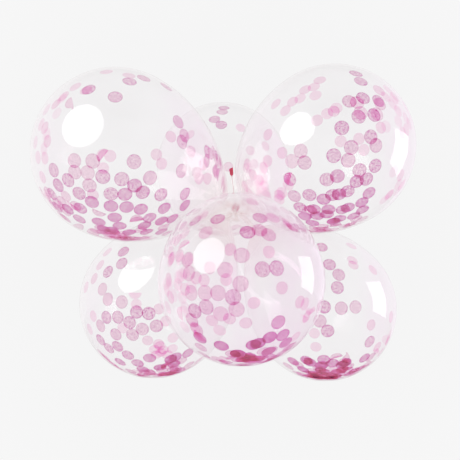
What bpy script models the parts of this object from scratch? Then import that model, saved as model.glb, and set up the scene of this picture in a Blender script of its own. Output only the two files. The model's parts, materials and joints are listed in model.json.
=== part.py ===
"""A cluster of six clear confetti balloons, tied neck to neck with a ribbon.

Units are metres and +Z is up. Three balloons rest on the floor at z = 0 and three ride above them.
The origin is on the floor, under the middle of the cluster's box.
"""
import math

import bmesh
import bpy
import numpy as np
from mathutils import Vector

CLUSTER_NAME = "confetti_balloon_cluster"

# Radius of each balloon's round body
TOP_LEFT_RADIUS = 0.157
TOP_RIGHT_RADIUS = 0.152
BACK_RADIUS = 0.150
FRONT_RADIUS = 0.142
LOWER_LEFT_RADIUS = 0.152
LOWER_RIGHT_RADIUS = 0.146

# The tie: its height over the floor, and the ribbon that is wound there
TIE_HEIGHT = 0.3215
TIE_RADIUS = 0.0100
RIBBON_WIDTH = 0.0080
RIBBON_THICKNESS = 0.0006
RIBBON_RISE = 0.080
RIBBON_CURL = 0.004

# A balloon's drawn-out side. Its radius falls to SHOULDER_SHARE of the body's at one radius from the
# middle, and would come to a point at BODY_REACH radii, or sooner where the tie is near.
SHOULDER_SHARE = 0.612
BODY_REACH = 1.50
NECK_RADIUS = 0.0050
NECK_LEAST_LENGTH = 0.0030
KNOT_RADIUS = 0.0065
KNOT_LENGTH = 0.0090
KNOT_END_RADIUS = 0.0040

# The tail past the knot, which flares to a rolled lip and sticks out between two neighbours
TAIL_LENGTH = 0.0200
TAIL_ROOT_RADIUS = 0.0028
TAIL_LIP_RADIUS = 0.0062
LIP_THICKNESS = 0.0022

# Gaps between neighbours, and how deep a balloon's underside is pressed flat by the floor
CLEARANCE = 0.0004
FLOOR_PRESS = 0.0020
FLOOR_CUTTER_DEPTH = 0.050

# Facets: round the body, along each half of it and along the knot
SEGMENTS = 32
FAR_STEPS = 7
NEAR_STEPS = 9
KNOT_STEPS = 4
TAIL_SEGMENTS = 12
FLARE_STEPS = 3
RIBBON_STEPS = 12

# Rounds of the two searches that settle by repeating: pressing flat, and the ribbon's way out
PRESS_PASSES = 4
WAY_PASSES = 30


class Balloon:
    """One balloon: its name, its body radius, and where it sticks out from the tie.

    stretch is the distance from the tie to the middle of the body, in radii. azimuth is the way it
    points in plan and elevation is its angle above level, in degrees. A balloon with no elevation
    rests on the floor, which settles its angle. tail_between names the two neighbours that its tail
    sticks out between.
    """

    def __init__(self, name, radius, stretch, azimuth, elevation=None, tail_between=()):
        self.name = name
        self.radius = radius
        self.tail_between = tail_between
        self.on_floor = elevation is None
        reach = stretch * radius
        if self.on_floor:
            rise = (radius - FLOOR_PRESS - TIE_HEIGHT) / reach
        else:
            rise = math.sin(math.radians(elevation))
        level = math.sqrt(1 - rise * rise)
        plan = math.radians(azimuth)
        self.axis = Vector((level * math.cos(plan), level * math.sin(plan), rise))
        self.centre = TIE + self.axis * reach
        self.to_tie = TIE - self.centre

    def half_width(self):
        """Half of the angle that the round body fills, seen from the tie."""
        return math.asin(min(1.0, self.radius / self.to_tie.length))


TIE = Vector((0.0, 0.0, TIE_HEIGHT))
BALLOONS = [
    Balloon(
        "balloon_top_left", TOP_LEFT_RADIUS, stretch=1.612, azimuth=-152.5, elevation=13.7,
        tail_between=("balloon_front", "balloon_lower_left"),
    ),
    Balloon(
        "balloon_top_right", TOP_RIGHT_RADIUS, stretch=1.466, azimuth=-30.2, elevation=22.7,
        tail_between=("balloon_front", "balloon_lower_right"),
    ),
    Balloon(
        "balloon_back", BACK_RADIUS, stretch=1.557, azimuth=99.8, elevation=41.6,
        tail_between=("balloon_top_left", "balloon_lower_left"),
    ),
    Balloon(
        "balloon_front", FRONT_RADIUS, stretch=1.605, azimuth=-85.9,
        tail_between=("balloon_lower_left", "balloon_lower_right"),
    ),
    Balloon(
        "balloon_lower_left", LOWER_LEFT_RADIUS, stretch=1.682, azimuth=147.7,
        tail_between=("balloon_lower_right", "balloon_back"),
    ),
    Balloon(
        "balloon_lower_right", LOWER_RIGHT_RADIUS, stretch=1.881, azimuth=29.5,
        tail_between=("balloon_top_right", "balloon_back"),
    ),
]


def clear_scene():
    """Removes every object that is already there."""
    for thing in list(bpy.data.objects):
        bpy.data.objects.remove(thing, do_unlink=True)


def collection(name):
    """A new collection in the scene."""
    made = bpy.data.collections.new(name)
    bpy.context.scene.collection.children.link(made)
    return made


def material(name, colour, roughness, alpha=1.0):
    """A Principled material of one plain colour."""
    made = bpy.data.materials.new(name)
    made.use_nodes = True
    shader = made.node_tree.nodes["Principled BSDF"]
    shader.inputs["Base Color"].default_value = (*colour, 1.0)
    shader.inputs["Roughness"].default_value = roughness
    shader.inputs["Metallic"].default_value = 0.0
    shader.inputs["Alpha"].default_value = alpha
    made.diffuse_color = (*colour, alpha)
    return made


def balloon_profile(radius, reach):
    """The turned outline as (x, z) points, from the knot's end face down to the far pole.

    z = 0 is the middle of the body and the tie is at z = reach. The far half is a quarter circle. The
    near half has z = L sin(a) and x = radius cos(a) ** (2 q): L is its length, and q is worked out
    so that x is SHOULDER_SHARE of the radius at z = radius.
    """
    knot_top = reach - TIE_RADIUS - CLEARANCE
    knot_bottom = knot_top - KNOT_LENGTH
    length = min(BODY_REACH * radius, knot_bottom - NECK_LEAST_LENGTH)
    power = math.log(SHOULDER_SHARE) / math.log(1 - (radius / length) ** 2)
    last = math.acos((NECK_RADIUS / radius) ** (0.5 / power))

    points = [(0.0, knot_top), (KNOT_END_RADIUS, knot_top)]
    for step in range(1, KNOT_STEPS):
        turn = math.pi * step / KNOT_STEPS
        swell = NECK_RADIUS + (KNOT_RADIUS - NECK_RADIUS) * math.sin(turn)
        points.append((swell, knot_top - KNOT_LENGTH * step / KNOT_STEPS))
    points.append((NECK_RADIUS, knot_bottom))
    for step in range(NEAR_STEPS, 0, -1):
        angle = last * step / NEAR_STEPS
        points.append((radius * math.cos(angle) ** (2 * power), length * math.sin(angle)))
    for step in range(FAR_STEPS):
        angle = math.pi / 2 * step / FAR_STEPS
        points.append((radius * math.cos(angle), -radius * math.sin(angle)))
    points.append((0.0, -radius))
    return points


def tail_profile():
    """The tail's turned outline, from its mouth down to its root inside the knot.

    The lip is a round bead. The flare's radius grows with the square of the distance from the root.
    """
    bead = LIP_THICKNESS / 2
    lip_height = TAIL_LENGTH - bead
    points = [(0.0, lip_height)]
    for degrees in (180, 90, 0, -60):
        turn = math.radians(degrees)
        points.append((TAIL_LIP_RADIUS + bead * math.cos(turn), lip_height + bead * math.sin(turn)))
    for step in range(FLARE_STEPS, -1, -1):
        share = step / (FLARE_STEPS + 1)
        flare = TAIL_ROOT_RADIUS + (TAIL_LIP_RADIUS - TAIL_ROOT_RADIUS) * share ** 2
        points.append((flare, lip_height * share))
    points.append((0.0, 0.0))
    return points


def turned_mesh(name, points, segments):
    """A closed solid turned about Z from an outline, by a Screw modifier."""
    outline = bpy.data.meshes.new(name + "_outline")
    corners = [(x, 0.0, z) for x, z in points]
    outline.from_pydata(corners, [(i, i + 1) for i in range(len(corners) - 1)], [])
    lathe = bpy.data.objects.new(name + "_lathe", outline)
    bpy.context.scene.collection.objects.link(lathe)
    screw = lathe.modifiers.new("turn", "SCREW")
    screw.axis = "Z"
    screw.angle = math.tau
    screw.steps = segments
    screw.render_steps = segments
    screw.use_merge_vertices = True
    screw.merge_threshold = 0.0001
    made = bpy.data.meshes.new_from_object(lathe.evaluated_get(bpy.context.evaluated_depsgraph_get()))
    bpy.data.objects.remove(lathe, do_unlink=True)
    return made


def pressing_planes(balloon):
    """The planes that part this balloon from the others, as unit normals that point at them.

    Each plane goes through the tie. It shares the angle between two balloons' axes in proportion to
    how wide each of them looks from there.
    """
    axis = balloon.axis
    normals = []
    for other in BALLOONS:
        if other is balloon:
            continue
        share = balloon.half_width() / (balloon.half_width() + other.half_width())
        across = (other.axis - axis * axis.dot(other.axis)).normalized()
        turn = axis.angle(other.axis) * share
        normals.append(across * math.cos(turn) - axis * math.sin(turn))
    return normals


def press(points, normals):
    """Moves the points that lie past a plane back on to it, as balloons that touch press each other flat."""
    tie = np.array(TIE)
    for _ in range(PRESS_PASSES):
        for normal in normals:
            direction = np.array(normal)
            past = (points - tie) @ direction + CLEARANCE / 2
            points = points - np.maximum(past, 0.0)[:, None] * direction
    return points


def make_tail(balloon, cutters):
    """The balloon's tail, which leaves the middle of its knot and leans out between two neighbours."""
    beside = [b.axis for b in BALLOONS if b.name in balloon.tail_between]
    way = sum(beside, balloon.axis.copy()).normalized()
    tail = bpy.data.objects.new(
        balloon.name + "_tail", turned_mesh(balloon.name + "_tail", tail_profile(), TAIL_SEGMENTS)
    )
    tail.data.shade_smooth()
    tail.location = TIE + balloon.axis * (TIE_RADIUS + CLEARANCE + KNOT_LENGTH / 2)
    tail.rotation_euler = way.to_track_quat("Z", "Y").to_euler()
    tail.hide_render = True
    tail.display_type = "WIRE"
    cutters.objects.link(tail)
    return tail


def add_boolean(thing, name, operation, other):
    """A Boolean modifier with the exact solver."""
    made = thing.modifiers.new(name, "BOOLEAN")
    made.operation = operation
    made.solver = "EXACT"
    made.object = other


def make_balloon(balloon, parts, cutters, film, floor_cutter):
    """Turns a balloon, points its neck at the tie, and presses it against its neighbours and the floor."""
    mesh = turned_mesh(balloon.name, balloon_profile(balloon.radius, balloon.to_tie.length), SEGMENTS)
    mesh.name = balloon.name
    turn = np.array(balloon.to_tie.to_track_quat("Z", "Y").to_matrix())
    local = np.empty(len(mesh.vertices) * 3)
    mesh.vertices.foreach_get("co", local)
    centre = np.array(balloon.centre)
    world = press(local.reshape(-1, 3) @ turn.T + centre, pressing_planes(balloon))
    mesh.vertices.foreach_set("co", (world - centre).ravel())
    mesh.update()
    mesh.shade_smooth()
    mesh.set_sharp_from_angle(angle=math.radians(40))
    mesh.materials.append(film)

    made = bpy.data.objects.new(balloon.name, mesh)
    made.location = balloon.centre
    parts.objects.link(made)
    if balloon.on_floor:
        add_boolean(made, "floor", "DIFFERENCE", floor_cutter)
    add_boolean(made, "tail", "UNION", make_tail(balloon, cutters))


def make_floor_cutter(cutters):
    """A slab whose top is the floor. It takes the thin cap off each balloon that rests there."""
    spread = max(b.centre.xy.length + b.radius for b in BALLOONS) * 2
    bpy.ops.mesh.primitive_cube_add(size=1.0, location=(0.0, 0.0, -FLOOR_CUTTER_DEPTH / 2))
    slab = bpy.context.active_object
    slab.name = "floor_cutter"
    slab.data.transform(((spread, 0, 0, 0), (0, spread, 0, 0), (0, 0, FLOOR_CUTTER_DEPTH, 0), (0, 0, 0, 1)))
    slab.hide_render = True
    slab.display_type = "WIRE"
    for old in list(slab.users_collection):
        old.objects.unlink(slab)
    cutters.objects.link(slab)
    return slab


def way_out():
    """The way up from the tie between the upper balloons, with the same angle left free to each."""
    upper = [b for b in BALLOONS if not b.on_floor]
    way = sum((b.axis for b in upper), Vector()).normalized()
    for _ in range(WAY_PASSES):
        room = [way.angle(b.axis) - b.half_width() for b in upper]
        mean = sum(room) / len(room)
        for b, free in zip(upper, room):
            way += b.axis * (free - mean) / 2
        way.normalize()
    return way


def ribbon_path(share):
    """A point of the ribbon's free end, and the way its width runs there."""
    rise = way_out()
    aside = rise.cross(Vector((0.0, 1.0, 0.0))).normalized()
    forward = aside.cross(rise)
    return TIE + rise * RIBBON_RISE * share + forward * RIBBON_CURL * math.sin(math.pi * share), aside


def make_ribbon_end():
    """The flat free end of the ribbon: a strip along its path, thickened by Solidify."""
    bm = bmesh.new()
    rows = []
    for step in range(RIBBON_STEPS + 1):
        middle, aside = ribbon_path(step / RIBBON_STEPS)
        rows.append([bm.verts.new(middle + aside * RIBBON_WIDTH * side) for side in (-0.5, 0.0, 0.5)])
    for low, high in zip(rows, rows[1:]):
        for k in range(2):
            bm.faces.new((low[k], low[k + 1], high[k + 1], high[k]))
    mesh = bpy.data.meshes.new("ribbon_end")
    bm.to_mesh(mesh)
    bm.free()
    strip = bpy.data.objects.new("ribbon_end", mesh)
    bpy.context.scene.collection.objects.link(strip)
    wall = strip.modifiers.new("thickness", "SOLIDIFY")
    wall.thickness = RIBBON_THICKNESS
    wall.offset = 0.0
    solid = bpy.data.meshes.new_from_object(strip.evaluated_get(bpy.context.evaluated_depsgraph_get()))
    bpy.data.objects.remove(strip, do_unlink=True)
    return solid


def make_tie(parts, cutters, crimson):
    """The ribbon wound into a tight ball where the necks meet, joined to its free end."""
    mesh = bpy.data.meshes.new("tie_ribbon")
    bm = bmesh.new()
    bmesh.ops.create_uvsphere(bm, u_segments=16, v_segments=10, radius=TIE_RADIUS)
    bmesh.ops.translate(bm, verts=bm.verts, vec=TIE)
    bm.to_mesh(mesh)
    bm.free()
    mesh.shade_smooth()
    mesh.materials.append(crimson)
    ball = bpy.data.objects.new("tie_ribbon", mesh)
    parts.objects.link(ball)

    end = bpy.data.objects.new("ribbon_end_joined", make_ribbon_end())
    end.hide_render = True
    end.display_type = "WIRE"
    cutters.objects.link(end)
    add_boolean(ball, "free_end", "UNION", end)


def put_origin_under_middle(parts, cutters):
    """Shifts everything level, so that the origin is under the middle of the parts' box."""
    graph = bpy.context.evaluated_depsgraph_get()
    corners = []
    for thing in parts.objects:
        shaped = thing.evaluated_get(graph)
        corners += [shaped.matrix_world @ v.co for v in shaped.data.vertices]
    low = [min(c[k] for c in corners) for k in range(2)]
    high = [max(c[k] for c in corners) for k in range(2)]
    shift = Vector((-(low[0] + high[0]) / 2, -(low[1] + high[1]) / 2, 0.0))
    for thing in list(parts.objects) + list(cutters.objects):
        thing.location = thing.location + shift


def main():
    clear_scene()
    parts = collection(CLUSTER_NAME)
    cutters = collection("cutters")
    film = material("clear_film", (0.93, 0.91, 0.90), 0.06, 0.30)
    crimson = material("crimson_ribbon", (0.55, 0.02, 0.10), 0.30)
    floor_cutter = make_floor_cutter(cutters)
    for balloon in BALLOONS:
        make_balloon(balloon, parts, cutters, film, floor_cutter)
    make_tie(parts, cutters, crimson)
    bpy.context.view_layer.update()
    put_origin_under_middle(parts, cutters)


main()
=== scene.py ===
# %% [markdown]
# A cluster of six clear confetti balloons, tied neck to neck with a crimson ribbon.
# Each balloon is a thin skin of clear rubber, blown up round loose discs of tissue paper. The discs
# cling to the inside of the skin by static, and pile up where the balloon is lowest.
# This lesson builds the looks of that cluster round its solid model. The solids give the places and
# sizes, so the first step loads them, and each skin is compared with its solid's box when it is made.

# %% Load the solid model
import json
import math

import bmesh
import bpy
import numpy as np
from mathutils import Matrix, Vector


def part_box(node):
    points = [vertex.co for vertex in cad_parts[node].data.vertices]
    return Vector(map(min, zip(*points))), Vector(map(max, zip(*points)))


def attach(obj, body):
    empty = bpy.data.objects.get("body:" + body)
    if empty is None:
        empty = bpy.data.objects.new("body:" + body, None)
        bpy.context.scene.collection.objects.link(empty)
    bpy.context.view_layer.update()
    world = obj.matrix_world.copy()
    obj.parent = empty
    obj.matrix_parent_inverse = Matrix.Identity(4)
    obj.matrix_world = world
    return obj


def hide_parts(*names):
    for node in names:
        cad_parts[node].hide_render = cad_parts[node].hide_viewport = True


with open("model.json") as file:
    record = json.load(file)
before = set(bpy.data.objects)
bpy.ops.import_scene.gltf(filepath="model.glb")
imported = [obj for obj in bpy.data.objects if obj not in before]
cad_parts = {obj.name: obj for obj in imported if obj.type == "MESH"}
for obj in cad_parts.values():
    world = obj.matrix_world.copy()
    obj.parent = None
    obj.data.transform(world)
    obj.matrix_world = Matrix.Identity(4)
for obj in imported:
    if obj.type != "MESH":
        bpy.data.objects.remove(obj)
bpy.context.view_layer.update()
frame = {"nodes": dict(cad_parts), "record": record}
BODY = "root"
MM = 0.001

print("solid parts:", sorted(frame["nodes"]))

# %% [markdown]
# The camera stands below the cluster, has a long lens and looks up by about 18 degrees. Its place and
# its lens come from fitting six teardrops to the outlines in the photograph.
# A rotation matrix is the plainest way to place it: its columns are the camera's right, its up and
# the opposite of where it looks. The lamps are placed in the same way.

# %% The camera
CAMERA_PLACE = np.array([0.0120, -1.2783, -0.1238])
CAMERA_LOOKS_UP = math.radians(17.6)
CAMERA_ROLL = math.radians(-0.93)
SENSOR_WIDTH_MM = 36.0
LENS_MM = 52.8


def unit(vector):
    """Vectors of length one, along the last axis."""
    vector = np.asarray(vector, float)
    return vector / np.linalg.norm(vector, axis=-1, keepdims=True)


def new_object(name, data):
    """An object for a mesh, a lamp or the camera, put in the scene."""
    made = bpy.data.objects.new(name, data)
    bpy.context.scene.collection.objects.link(made)
    return made


def standing(place, right, up, back):
    """The matrix that stands a lamp or the camera at its place, with these three directions."""
    matrix = np.eye(4)
    matrix[:3] = np.stack([right, up, back, place], axis=1)
    return Matrix(matrix)


level = np.array([1.0, 0.0, 0.0])
ahead = np.array([0.0, math.cos(CAMERA_LOOKS_UP), math.sin(CAMERA_LOOKS_UP)])
upright = np.cross(level, ahead)
camera_right = level * math.cos(CAMERA_ROLL) - upright * math.sin(CAMERA_ROLL)
camera_up = np.cross(camera_right, ahead)

camera_data = bpy.data.cameras.new("camera")
camera_data.lens = LENS_MM
camera_data.sensor_width = SENSOR_WIDTH_MM
camera = new_object("camera", camera_data)
camera.matrix_world = standing(CAMERA_PLACE, camera_right, camera_up, -ahead)
bpy.context.scene.camera = camera

print("the camera looks along", np.round(ahead, 3))

# %% [markdown]
# Shader maths reads best as sums. This small class wraps one socket of a material. A sum on it adds
# Math nodes, and its one method, add, makes any other node: it sets the node's settings first and
# then gives its sockets their values or links. The functions after it name the nodes that the
# finishes below use most.

# %% A class for shader maths


class Wire:
    """One socket of a material's node tree, which can be added, multiplied and linked."""

    def __init__(self, tree, socket=None):
        self.tree = tree
        self.socket = socket

    def add(self, kind, settings=None, inputs=None, out=0):
        """Adds a node, sets it, fills its sockets with numbers or wires, and returns one output."""
        made = self.tree.nodes.new(kind)
        for name, value in (settings or {}).items():
            setattr(made, name, value)
        for name, value in (inputs or {}).items():
            if isinstance(value, Wire):
                self.tree.links.new(value.socket, made.inputs[name])
            else:
                made.inputs[name].default_value = value
        return Wire(self.tree, made.outputs[out])

    def maths(self, operation, first, second=0.0):
        """One Math node on two values."""
        return self.add("ShaderNodeMath", {"operation": operation}, {0: first, 1: second})

    def __add__(self, other):
        return self.maths("ADD", self, other)

    def __radd__(self, other):
        return self.maths("ADD", other, self)

    def __sub__(self, other):
        return self.maths("SUBTRACT", self, other)

    def __rsub__(self, other):
        return self.maths("SUBTRACT", other, self)

    def __mul__(self, other):
        return self.maths("MULTIPLY", self, other)

    def __rmul__(self, other):
        return self.maths("MULTIPLY", other, self)

    def __truediv__(self, other):
        return self.maths("DIVIDE", self, other)

    def __pow__(self, other):
        return self.maths("POWER", self, other)

    def clipped(self, low, high):
        """This value kept between two numbers."""
        return self.maths("MINIMUM", self.maths("MAXIMUM", self, low), high)


# %% The nodes used most
WHITE = (1.0, 1.0, 1.0, 1.0)


def empty_tree(owner):
    """Clears the nodes of a material or of the world, and gives a wire to start new ones from."""
    owner.use_nodes = True
    owner.node_tree.nodes.clear()
    return Wire(owner.node_tree)


def new_material(name):
    """An empty material and a wire to start its nodes from."""
    made = bpy.data.materials.new(name)
    return made, empty_tree(made)


def place_on(start):
    """Where a point is on its object, in metres."""
    return start.add("ShaderNodeTexCoord", None, None, "Object")


def chart_place(start, chart):
    """Where a point is on one of its mesh's UV maps."""
    return start.add("ShaderNodeUVMap", {"uv_map": chart})


def value_of(start, name):
    """A number that the mesh keeps for each of its points."""
    return start.add("ShaderNodeAttribute", {"attribute_name": name}, None, "Fac")


def noise(start, place, scale, detail=2.0, roughness=0.5):
    """A cloudy pattern from 0 to 1. scale is how many clouds fit in a unit of place."""
    return start.add(
        "ShaderNodeTexNoise", None,
        {"Vector": place, "Scale": scale, "Detail": detail, "Roughness": roughness},
    )


def ranged(pattern, between):
    """A pattern from 0 to 1, made to go from the first of two numbers to the second."""
    return between[0] + (between[1] - between[0]) * pattern


def rising(value, between):
    """Zero below the first of two numbers and one above the second, with a soft step between."""
    return value.add(
        "ShaderNodeMapRange", {"interpolation_type": "SMOOTHSTEP"},
        {"Value": value, "From Min": between[0], "From Max": between[1]},
    )


def raised(height, strength, depth):
    """The way a surface faces when a pattern stands out of it by up to a depth."""
    return height.add(
        "ShaderNodeBump", None, {"Strength": strength, "Distance": depth, "Height": height}, "Normal",
    )


def mixed(share, first, second):
    """The second colour by its share, and the first by the rest."""
    return share.add("ShaderNodeMix", {"data_type": "RGBA"}, {"Factor": share, 6: first, 7: second}, 2)


def see_through(start, tint):
    """A shader that lets through what is behind it, tinted."""
    return start.add("ShaderNodeBsdfTransparent", None, {"Color": tint})


def blend_shaders(share, first, second):
    """Shows second by its share, which is a number or a wire, and first by the rest."""
    return first.add("ShaderNodeMixShader", None, {0: share, 1: first, 2: second})


def show(shader, end="ShaderNodeOutputMaterial"):
    """Ends a material with this shader, or the world where the end is of its kind."""
    last = shader.tree.nodes.new(end)
    shader.tree.links.new(shader.socket, last.inputs["Surface"])


# %% [markdown]
# The backdrop is pale whichever way one looks at it, but the room that lights the cluster isn't. It is
# brightest behind the cluster and at the sides, lilac on the right, and dim where the photographer
# stands. So the skins mirror little of it face on, and the tissue is lit mostly from behind, which
# keeps its pinks deep. A Light Path node tells the two apart: only what a sight line meets directly,
# or through clear rubber, shows the backdrop.
# The photograph is a bright one, whose light tones are lifted and pressed together while its deeper
# pinks stay deep. A tone curve does that to the whole picture.

# %% The surroundings
BACKDROP_MIDDLE = 1.0
BACKDROP_GAIN_TO_SIDES = 0.42
BACKDROP_AT_MOST = 1.08
ROOM_IN_FRONT = 0.35
FRONT_TO_BEHIND = (-0.7, 0.5)
RIGHT_GAIN = 0.38
RIGHT_SIDE = (0.28, 0.62)
LEFT_GAIN = 0.16
LEFT_SIDE = (0.30, 0.65)
RING_GAIN = 0.22
ROUND_THE_MIDDLE = (0.07, 0.16)
ABOVE_LOSS = 0.40
FAR_ABOVE = (0.50, 0.72)
LILAC_SIDE = (0.2, 0.6)
LILAC = (0.97, 0.86, 1.0, 1.0)
TONE_CURVE = [
    (0.0, 0.0), (0.11, 0.095), (0.21, 0.19), (0.345, 0.39), (0.45, 0.53), (0.58, 0.65), (0.72, 0.745),
    (0.90, 0.85), (1.0, 0.905),
]
SHEETS_SEEN_THROUGH = 64
LIGHT_BOUNCES = 16

world = bpy.data.worlds.new("pale_studio")
bpy.context.scene.world = world
sky = empty_tree(world)
way = sky.add("ShaderNodeTexCoord", None, None, "Generated")


def share_along(direction):
    """How far a sight line goes along a direction, from -1 to 1."""
    return sky.add(
        "ShaderNodeVectorMath", {"operation": "DOT_PRODUCT"}, {0: way, 1: tuple(direction)}, "Value",
    )


behind = share_along(ahead)
to_right = share_along(camera_right)
above = share_along(camera_up)
room = ROOM_IN_FRONT + (1 - ROOM_IN_FRONT) * rising(behind, FRONT_TO_BEHIND)
room = room + RIGHT_GAIN * rising(to_right, RIGHT_SIDE) + LEFT_GAIN * rising(0 - to_right, LEFT_SIDE)
room = room + RING_GAIN * rising(1 - behind, ROUND_THE_MIDDLE) - ABOVE_LOSS * rising(above, FAR_ABOVE)
room_tint = mixed(rising(to_right, LILAC_SIDE), WHITE, LILAC)
backdrop = (BACKDROP_MIDDLE + BACKDROP_GAIN_TO_SIDES * (1 - behind)).clipped(0.0, BACKDROP_AT_MOST)
seen_directly = sky.add("ShaderNodeLightPath", None, None, "Is Camera Ray")
background = blend_shaders(
    seen_directly, sky.add("ShaderNodeBackground", None, {"Color": room_tint, "Strength": room}),
    sky.add("ShaderNodeBackground", None, {"Color": WHITE, "Strength": backdrop}),
)
show(background, "ShaderNodeOutputWorld")

view = bpy.context.scene.view_settings
view.view_transform = "Standard"
view.use_curve_mapping = True
all_channels = view.curve_mapping.curves[3]
all_channels.points[0].location = TONE_CURVE[0]
all_channels.points[-1].location = TONE_CURVE[-1]
for stop in TONE_CURVE[1:-1]:
    all_channels.points.new(*stop)
view.curve_mapping.extend = "EXTRAPOLATED"
view.curve_mapping.update()
bpy.context.scene.cycles.transparent_max_bounces = SHEETS_SEEN_THROUGH
bpy.context.scene.cycles.max_bounces = LIGHT_BOUNCES

print("the room has", len(world.node_tree.nodes), "nodes and the tone curve", len(TONE_CURVE), "stops")

# %% [markdown]
# One softbox high on the left and one panel on the right make the bright patches on the skins. A
# reflection needs a very bright lamp, which would burn out the paper, so those two lamps are seen
# only in reflections. A broad, gentle lamp overhead lights the paper and the floor.

# %% The lamps
PATCH_RADIANCE = 6.2
OVERHEAD_RADIANCE = 0.8


def add_lamp(name, place, facing, size, shape, radiance, only_reflected, roll=0.0):
    """An area lamp. facing is the way its face looks, and radiance is how bright that face is."""
    data = bpy.data.lights.new(name, "AREA")
    data.shape = shape
    data.size, data.size_y = size
    area = size[0] * size[1] * (math.pi / 4 if shape == "DISK" else 1.0)
    data.energy = radiance * area * math.pi
    back = -unit(facing)
    level = unit(np.cross((0.0, 0.0, 1.0), back))
    right = level * math.cos(roll) + np.cross(back, level) * math.sin(roll)
    made = new_object(name, data)
    made.matrix_world = standing(place, right, np.cross(back, right), back)
    made.visible_camera = False
    made.visible_transmission = False
    made.visible_diffuse = not only_reflected
    made.visible_glossy = only_reflected
    print("lamp", made.name, "of", round(data.energy, 1), "W")


add_lamp(
    "softbox", place=(-0.782, -0.924, 0.515), facing=(0.335, 0.785, -0.521), size=(0.94, 0.94),
    shape="DISK", radiance=PATCH_RADIANCE, only_reflected=True,
)
add_lamp(
    "side_panel", place=(1.405, -0.042, 0.306), facing=(-0.962, 0.269, -0.049), size=(0.684, 0.842),
    shape="RECTANGLE", radiance=PATCH_RADIANCE, only_reflected=True, roll=math.radians(8.0),
)
add_lamp(
    "overhead", place=(-0.9, -1.0, 1.9), facing=(0.9, 1.0, -1.6), size=(1.6, 1.6),
    shape="SQUARE", radiance=OVERHEAD_RADIANCE, only_reflected=False,
)

# %% [markdown]
# The camera stands lower than the floor, as the photograph sees the cluster from below. So the floor
# is a one-sided sheet: pale and matt seen from above, and see-through from below. Far out it fades into
# the backdrop, like the paper sweep of a studio.

# %% The floor
FLOOR_SIZE = 40.0
FLOOR_DROP = 0.6 * MM
FLOOR_FADES = (1.2, 7.0)
FLOOR_GRAIN = 3.0
FLOOR_TONES = (0.88, 0.905, 0.875, 1.0), (0.90, 0.925, 0.895, 1.0)


def floor_material():
    """Matt pale paper seen from above, which fades into the backdrop, and nothing seen from below."""
    made, start = new_material("floor_paper")
    place = place_on(start)
    tone = mixed(noise(start, place, FLOOR_GRAIN, detail=3.0), *FLOOR_TONES)
    paper = start.add("ShaderNodeBsdfDiffuse", None, {"Color": tone})
    below = start.add("ShaderNodeNewGeometry", None, None, "Backfacing")
    away = start.add("ShaderNodeVectorMath", {"operation": "LENGTH"}, {0: place}, "Value")
    gone = below.maths("MAXIMUM", below, rising(away, FLOOR_FADES))
    show(blend_shaders(gone, paper, see_through(start, WHITE)))
    return made


half = FLOOR_SIZE / 2
floor_corners = [(-half, -half), (half, -half), (half, half), (-half, half)]
floor_mesh = bpy.data.meshes.new("floor")
floor_mesh.from_pydata([(x, y, -FLOOR_DROP) for x, y in floor_corners], [], [(0, 1, 2, 3)])
floor_mesh.materials.append(floor_material())
floor = new_object("floor", floor_mesh)

print("the floor is", FLOOR_SIZE, "m wide")

# %% [markdown]
# Each balloon is a ball whose one side is drawn out to a neck. The same few sizes as in the solid
# model place it: its radius, how far its middle is from the tie, and the way it points. The solid
# model says where the tie is. A balloon that rests on the floor needs no angle of its own, because
# the floor settles it.

# %% The six balloons
FLOOR_PRESS = 2.0 * MM
CLEARANCE = 0.4 * MM
TIE_RADIUS = 10.0 * MM
KNOT_LENGTH = 9.0 * MM
KNOT_RADIUS = 6.5 * MM
NECK_RADIUS = 5.0 * MM
NECK_LEAST_LENGTH = 3.0 * MM
SHOULDER_SHARE = 0.612
BODY_REACH = 1.50
TIE = np.array(next(m["pos_m"] for m in frame["record"]["mounts"] if m["name"] == "hanging_tie"))


class Balloon:
    """One balloon: where its middle is, how its skin is turned and what it presses against."""

    def __init__(self, name, radius, stretch, azimuth, elevation=None, tail_between=()):
        self.name = name
        self.radius = radius
        self.reach = stretch * radius
        self.tail_between = tail_between
        if elevation is None:
            rise = (radius - FLOOR_PRESS - TIE[2]) / self.reach
        else:
            rise = math.sin(math.radians(elevation))
        level = math.sqrt(1 - rise * rise)
        plan = math.radians(azimuth)
        self.axis = np.array([level * math.cos(plan), level * math.sin(plan), rise])
        self.centre = TIE + self.axis * self.reach
        self.half_width = math.asin(radius / self.reach)
        self.knot_bottom = self.reach - TIE_RADIUS - CLEARANCE - KNOT_LENGTH
        self.length = min(BODY_REACH * radius, self.knot_bottom - NECK_LEAST_LENGTH)
        self.power = math.log(SHOULDER_SHARE) / math.log(1 - (radius / self.length) ** 2)
        self.neck_turn = math.acos((NECK_RADIUS / radius) ** (0.5 / self.power))


# Name, radius in metres, distance of the middle from the tie in radii, the way it points in degrees
# round and above the level, and the neighbours between which its tail hangs out.
BALLOONS = [
    Balloon("top_left", 0.157, 1.612, -152.5, 13.7, ("front", "lower_left")),
    Balloon("top_right", 0.152, 1.466, -30.2, 22.7, ("front", "lower_right")),
    Balloon("back", 0.150, 1.557, 99.8, 41.6, ("top_left", "lower_left")),
    Balloon("front", 0.142, 1.605, -85.9, None, ("lower_left", "lower_right")),
    Balloon("lower_left", 0.152, 1.682, 147.7, None, ("lower_right", "back")),
    Balloon("lower_right", 0.146, 1.881, 29.5, None, ("top_right", "back")),
]

for balloon in BALLOONS:
    print(balloon.name, "middle at", np.round(balloon.centre, 4), "m")

# %% [markdown]
# The skin could be a sphere pulled into shape with a lattice, but a turned profile follows the real
# form more closely. The far half is a quarter circle. The near half narrows by a power of a cosine,
# so that it draws out to the neck like a teardrop. Carried round the axis, the profile gives a grid
# of points, and whole arrays of them are worked out at once.

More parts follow.
